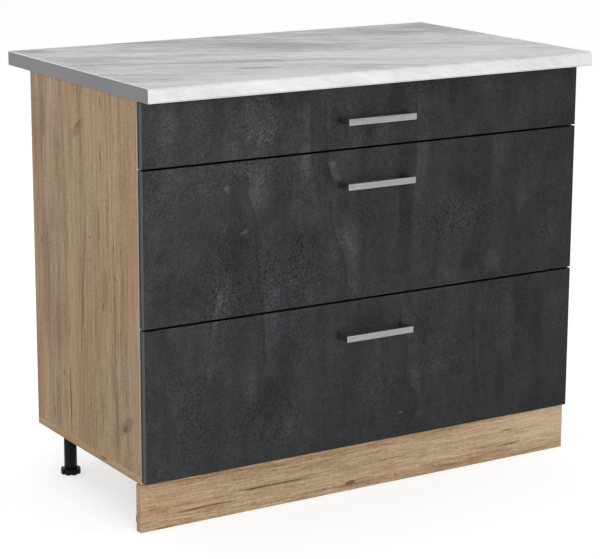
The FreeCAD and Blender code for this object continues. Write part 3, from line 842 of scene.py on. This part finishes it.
# %% Handles
def bow_handle(low, high):
    """A handle that fills the box between two corners."""
    post, bar = 9 * MM, 7 * MM
    piece = block("handle_bow", (low.x + post, low.y, low.z), (high.x - post, low.y + bar, high.z))
    pick(piece, lambda f: abs(f.normal.x) > 0.99)
    bpy.ops.mesh.extrude_faces_move(TRANSFORM_OT_shrink_fatten={"value": post})
    pick(piece, lambda f: f.normal.y > 0.99 and abs(f.calc_center_median().x) > high.x - post)
    bpy.ops.mesh.extrude_region_move(TRANSFORM_OT_translate={"value": (0, high.y - low.y - bar, 0)})
    bend_x, bend_y = high.x - post, low.y + bar
    round_edges(piece, lambda co: abs(abs(co.x) - bend_x) < 1e-5 and abs(co.y - bend_y) < 1e-5, 6, 10)
    round_edges(piece, lambda co: abs(co.x) > high.x - 1e-5 and co.y < low.y + 1e-5, 1.5, 6)
    eased(piece, 0.45 * MM, 2, 40)
    return smooth(piece, 30)


bow_low, bow_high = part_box("handle_bottom")
bow = bow_handle(bow_low, bow_high)
print("handle faces:", len(bow.data.polygons))
for level in LEVELS:
    handle = copy_of(bow, "handle_bow_" + level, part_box("handle_" + level)[0] - bow_low)
    finished(handle, "drawer_" + level, satin_metal, ["handle_" + level])
put_away(bow)

# %% [markdown]
# ## Carcass boards
# The sides, the bottom and the rails are chipboard with the oak print on both faces. The edge towards the
# front has a plastic edging, which stands out as a pale line, and the rear edges are left bare.

# %% Carcass
for side in ("left", "right"):
    node = "side_panel_" + side
    panel = from_cad(node, "side_board_" + side, "carcass", oak_upright, "oak_board", 0.4)
    paint(panel, oak_edging, lambda f: f.normal.y < -0.9)
    paint(panel, bare_chipboard, lambda f: f.normal.y > 0.9 or f.normal.z > 0.9)
for node in ("bottom_panel", "top_rail_front", "top_rail_rear"):
    board = from_cad(node, node + "_board", "carcass", oak_inside, "oak_board", 0.4)
    paint(board, oak_edging, lambda f: f.normal.y < -0.9)
    paint(board, bare_chipboard, lambda f: f.normal.y > 0.9)
    paint(board, oak_edge_band, lambda f: abs(f.normal.x) > 0.9)
from_cad("back_board", "back_sheet", "carcass", white_foil, "white_board", 0.2, 1)
plinth = from_cad("plinth_board", "plinth", "carcass", oak_lying, "plinth_oak", 0.4)
paint(plinth, bare_chipboard, lambda f: f.normal.z < -0.9)

# %% [markdown]
# ## Legs
# Each leg is a plate screwed under the carcass, a tube pushed on to the plate's plug, and a foot that winds in
# and out of the tube. The foot has eight notches for fingers or a tool, so it is turned level from the front.


# %% Feet
def leg_tube(low, high):
    """A tube that stands on the origin's axis, made by giving the wall of a cylinder a thickness."""
    piece = round_bar("leg_tube", 13 * MM, low, high)
    pick(piece, lambda f: abs(f.normal.z) > 0.99)
    bpy.ops.mesh.delete(type="FACE")
    alone(piece)
    modifier = piece.modifiers.new("wall", "SOLIDIFY")
    modifier.thickness = 3 * MM
    modifier.offset = -1
    bpy.ops.object.modifier_apply(modifier=modifier.name)
    eased(piece, 0.5 * MM, 2, 40)
    return smooth(piece, 40)


moulded = {"material": black_plastic, "slot": "black_plastic", "angle": 40, "smoothing": 40}
leg_middles = []
for place in ("front_left", "front_right", "rear_left", "rear_right"):
    node = "foot_" + place
    from_cad(node, "foot_turned_" + place, node, ease=0.6, segments=3, **moulded)
    leg_middles.append((*middle_of(node).xy, 0))
tube = leg_tube(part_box("leg_tubes")[0].z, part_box("leg_tubes")[1].z)
tubes = [copy_of(tube, "leg_tube_copy", middle) for middle in leg_middles]
put_away(tube)
finished(joined("leg_tubes_turned", tubes), "carcass", black_plastic, ["leg_tubes"])
for node in ("leg_sockets", "plinth_clips"):
    from_cad(node, node + "_moulded", "carcass", ease=0.5, **moulded)

# %% [markdown]
# ## Drawer boxes, runners and fittings
# They show once a drawer is pulled. Boards are foiled white, the runners are folded sheet steel under white
# powder coat, and the angles are zinc plated.

# %% Drawer boxes and runners
for level in LEVELS:
    body = "drawer_" + level
    for part in ("drawer_side_left_", "drawer_side_right_", "drawer_back_", "drawer_base_"):
        node = part + level
        board = from_cad(node, node + "_board", body, white_foil, "white_board", smoothing=40)
        paint(board, bare_chipboard, lambda f: f.normal.z < -0.9 and "base" not in node)
    for part, owner in (("cabinet_runners_", "carcass"), ("drawer_runners_", body)):
        node = part + level
        from_cad(node, node + "_folded", owner, powder_coat, "runner_steel", 0.3, 2, 40, 35)
    from_cad("front_brackets_" + level, "front_angles_" + level, body, zinc_plate, "zinc_steel", 0.3)
    for part in ("front_rollers_", "rear_rollers_"):
        node = part + level
        from_cad(node, node + "_turned", node, white_nylon, "roller_nylon", 0.5, 2, 40, 40)
from_cad("worktop_brackets", "worktop_angles", "carcass", zinc_plate, "zinc_steel", 0.3)

# %% [markdown]
# ## Screws, cams and buffers
# A unit like this is put together with cross-head screws and with cams, which are round discs that are turned
# to lock. They show from below, from behind and in an open drawer. One head is modelled, a low cylinder with a
# domed rim and a cross pressed in, and copied to each place, turned the way that its board faces. The cross is
# an inset ring whose corner points are pulled in. Small soft buffers on the front edges of the sides stop the
# fronts from knocking.


# %% Heads
def cross_head(name, radius, height, dome):
    """The head of a screw or a cam, in millimetres, standing on the origin and looking up."""
    radius, height = radius * MM, height * MM
    top = height - 1e-6
    head = round_bar(name, radius, 0, height, 32)
    round_edges(head, lambda co: co.z > top, dome, 4)
    dome *= MM
    pick(head, lambda f: f.normal.z > 0.99 and f.calc_center_median().xy.length < 0.1 * radius)
    bpy.ops.mesh.inset(thickness=0.35 * (radius - dome))
    cross = 0.66 * (radius - dome)

    def between_arms(vert):
        quarter = math.degrees(math.atan2(vert.co.y, vert.co.x)) % 90
        return vert.co.z > top and vert.co.xy.length < cross and 20 < quarter < 70

    pick(head, between_arms, "VERT")
    bpy.ops.transform.resize(value=(0.42, 0.42, 1), center_override=(0, 0, height))
    pick(head, lambda f: f.normal.z > 0.99 and f.calc_center_median().xy.length < 0.1 * radius)
    bpy.ops.mesh.extrude_region_move(TRANSFORM_OT_translate={"value": (0, 0, -0.6 * height)})
    bpy.ops.transform.resize(value=(0.7, 0.7, 1), center_override=(0, 0, height))
    return smooth(head, 35)


screw = cross_head("screw", 3.5, 1.6, 1.0)
cam = cross_head("cam", 7.5, 0.8, 0.3)
print("screw faces:", len(screw.data.polygons))


def heads(model, name, places, body="carcass", material=zinc_plate):
    """Copies of one head at places, each an (x, y, z) and the way it looks, joined into one piece."""
    copies = [copy_of(model, name, place, looking) for place, looking in places]
    finished(joined(name, copies), body, material)
    print(name, len(copies))


# %% Screws and cams in the carcass
LEFT, RIGHT, BACK, DOWN = (-1, 0, 0), (1, 0, 0), (0, 1, 0), (0, 0, -1)
panel_low, panel_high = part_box("bottom_panel")
plate, hole = 4 * MM, 20 * MM
places = []
for x, y, _ in leg_middles:
    places += [((x + dx, y + dy, panel_low.z - plate), DOWN) for dx in (-hole, hole) for dy in (-hole, hole)]
heads(screw, "socket_screws", places)
side_middle = panel_high.x - 8 * MM
places = [((side * side_middle, y * MM, panel_low.z), DOWN) for side in (-1, 1) for y in (-130, 0, 85)]
heads(screw, "bottom_screws", places)
clip_face, clip_z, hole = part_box("plinth_board")[1].y + 3 * MM, middle_of("plinth_clips").z, 14 * MM
places = [((x + dx, clip_face, clip_z), BACK) for x, y, _ in leg_middles if y < 0 for dx in (-hole, hole)]
heads(screw, "clip_screws", places)
angle_low, angle_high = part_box("worktop_brackets")
inner_x = angle_high.x
sheet, half_width, hole, low_hole, far_hole = 2 * MM, 20 * MM, 10 * MM, 12 * MM, 17 * MM
places = []
for side, inward in ((-1, RIGHT), (1, LEFT)):
    for middle in (angle_low.y + half_width, angle_high.y - half_width):
        for y in (middle - hole, middle + hole):
            places.append(((side * (inner_x - sheet), y, angle_low.z + low_hole), inward))
            places.append(((side * (inner_x - far_hole), y, angle_high.z - sheet), DOWN))
heads(screw, "worktop_screws", places)
sunk, from_side, from_edge = 0.5 * MM, 24 * MM, 25 * MM
places = []
for node in ("top_rail_front", "top_rail_rear"):
    rail_low, rail_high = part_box(node)
    for x in (from_side - inner_x, inner_x - from_side):
        for y in (rail_low.y + from_edge, rail_high.y - from_edge):
            places.append(((x, y, rail_low.z + sunk), DOWN))
heads(cam, "rail_cams", places)

# %% Screws in the drawers and runners
post_x = 73 * MM
sheet, hole, far_hole, below_top = 1.5 * MM, 9 * MM, 16 * MM, 16 * MM
track_middle, track_depth, web = 20 * MM, 6 * MM, 0.3 * MM
for level in LEVELS:
    body = "drawer_" + level
    handle_z = middle_of("handle_" + level).z
    front_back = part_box("front_" + level)[1].y
    heads(screw, "handle_screws_" + level, [((x, front_back, handle_z), BACK) for x in (-post_x, post_x)], body)
    angle_low, angle_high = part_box("front_brackets_" + level)
    board_low, board_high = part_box("drawer_side_right_" + level)
    back_y, axle_z = middle_of("drawer_back_" + level).y, middle_of("rear_rollers_" + level).z
    places, members = [], []
    for side, inward, outward in ((-1, RIGHT, LEFT), (1, LEFT, RIGHT)):
        for z in (angle_low.z + hole, angle_high.z - hole):
            places.append(((side * (angle_high.x - sheet), angle_high.y - hole, z), inward))
            places.append(((side * (angle_high.x - far_hole), angle_low.y + sheet, z), BACK))
        for z in (board_low.z + 0.45 * (board_high.z - board_low.z), board_high.z - below_top):
            places.append(((side * board_high.x, back_y, z), outward))
        for y in (-200, -40, 110):
            places.append(((side * (inner_x - track_middle), y * MM, axle_z - track_depth), DOWN))
        for y in (-185, -57, 71):
            members.append(((side * (inner_x - web), y * MM, axle_z), inward))
    heads(screw, "drawer_screws_" + level, places, body)
    heads(screw, "runner_screws_" + level, members, material=powder_coat)
put_away(screw)
put_away(cam)

# %% Buffers
dot = round_bar("buffer", 4 * MM, -0.9 * MM, 0, 32)
round_edges(dot, lambda co: co.z < -0.8 * MM, 0.7, 4)
smooth(dot, 35)
edge_y, from_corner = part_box("side_panel_left")[0].y, 16 * MM
dots = []
for level in LEVELS:
    front_low, front_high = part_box("front_" + level)
    for side in (-1, 1):
        for z in (max(front_low.z, panel_high.z) + from_corner, front_high.z - from_corner):
            dots.append(copy_of(dot, "buffer_copy", (side * side_middle, edge_y, z), BACK))
put_away(dot)
finished(joined("front_buffers", dots), "carcass", white_nylon)
print("buffers:", len(dots))

# %% [markdown]
# ## Floor, light and background
# The cabinet stands on a plain pale floor in a white studio. The floor and the world are white to the camera
# and to mirrors, and give the object only a moderate, even light. A large lamp from the front left lights the
# front and the top, and a smaller one straight in front, as low as the cabinet, lifts the front and puts the
# soft shade behind the handles' bars. That low one is kept out of reflections, because it would glare in the
# handles. Weaker lamps on the left, on the right and behind keep the other sides from going grey.


# %% Stage
def seen_share(tree):
    """1 for what the camera sees, also in mirrors and through glass, and 0 for the light on other things."""
    path = tree.nodes.new("ShaderNodeLightPath").outputs
    share = path["Is Camera Ray"]
    for ray in ("Is Glossy Ray", "Is Transmission Ray"):
        larger = tree.nodes.new("ShaderNodeMath")
        larger.operation = "MAXIMUM"
        tree.links.new(share, larger.inputs[0])
        tree.links.new(path[ray], larger.inputs[1])
        share = larger.outputs[0]
    return share


alone()
bpy.ops.mesh.primitive_plane_add(size=60, location=(0, 0, 0))
floor = bpy.context.object
floor.name = "floor"
ground = Finish("studio_floor", 0.9, gloss=0.0)
ground.colour(srgb(232, 232, 232))
pale = ground.node("BsdfDiffuse", Color=(0.62, 0.62, 0.62, 1.0))
glow = ground.node("Emission", Color=WHITE, Strength=0.62)
shown = ground.node("AddShader", _0=pale.outputs[0], _1=glow.outputs[0])
seen = seen_share(ground.material.node_tree)
final = ground.node("MixShader", _0=seen, _1=ground.shader.outputs[0], _2=shown.outputs[0])
ground.links.new(final.outputs[0], ground.nodes["Material Output"].inputs["Surface"])
floor.data.materials.append(ground.material)

world = bpy.data.worlds.new("studio")
bpy.context.scene.world = world
world.use_nodes = True
sky = world.node_tree
choice = sky.nodes.new("ShaderNodeMixShader")
sky.links.new(seen_share(sky), choice.inputs[0])
for socket, strength in ((1, 0.58), (2, 1.0)):
    background = sky.nodes["Background"] if socket == 1 else sky.nodes.new("ShaderNodeBackground")
    background.inputs["Color"].default_value = WHITE
    background.inputs["Strength"].default_value = strength
    sky.links.new(background.outputs[0], choice.inputs[socket])
sky.links.new(choice.outputs[0], sky.nodes["World Output"].inputs["Surface"])


def lamp(name, place, aim, size, power):
    """A square soft light that looks at a point."""
    alone()
    bpy.ops.object.light_add(type="AREA", location=place)
    made = bpy.context.object
    made.name = name
    made.data.shape = "SQUARE"
    made.data.size = size
    made.data.energy = power
    made.rotation_euler = (Vector(aim) - Vector(place)).to_track_quat("-Z", "Y").to_euler()
    return made


lamp("front_light", (-1.6, -4.2, 2.5), (0, -0.2, 0.45), 2.2, 24)
low_light = lamp("low_light", (-0.1, -4.4, 0.62), (0, -0.2, 0.45), 0.7, 57)
low_light.visible_glossy = False
lamp("left_light", (-4.4, -0.6, 1.0), (0, 0, 0.45), 2.0, 18)
lamp("right_light", (4.5, 0.5, 1.6), (0, 0, 0.4), 2.0, 30)
lamp("back_light", (-1.5, 4.5, 1.6), (0, 0, 0.4), 2.0, 30)

# %% [markdown]
# ## The camera
# The photograph looks from the front left, a little above the worktop, with a long lens.

# %% Camera
alone()
bpy.ops.object.camera_add(location=(-2.1962, -3.5278, 1.3879))
camera = bpy.context.object
yaw, pitch, roll = math.radians(31.90), math.radians(12.85), math.radians(-0.24)
look = Matrix.Rotation(-yaw, 4, "Z") @ Matrix.Rotation(math.pi / 2 - pitch, 4, "X")
camera.rotation_euler = (look @ Matrix.Rotation(-roll, 4, "Z")).to_euler()
camera.data.sensor_width = 36
camera.data.lens = 124.63
camera.data.shift_y = -0.05
camera.data.clip_end = 200
bpy.context.scene.camera = camera
bpy.context.scene.view_settings.view_transform = "Standard"

# %% Finish
alone()
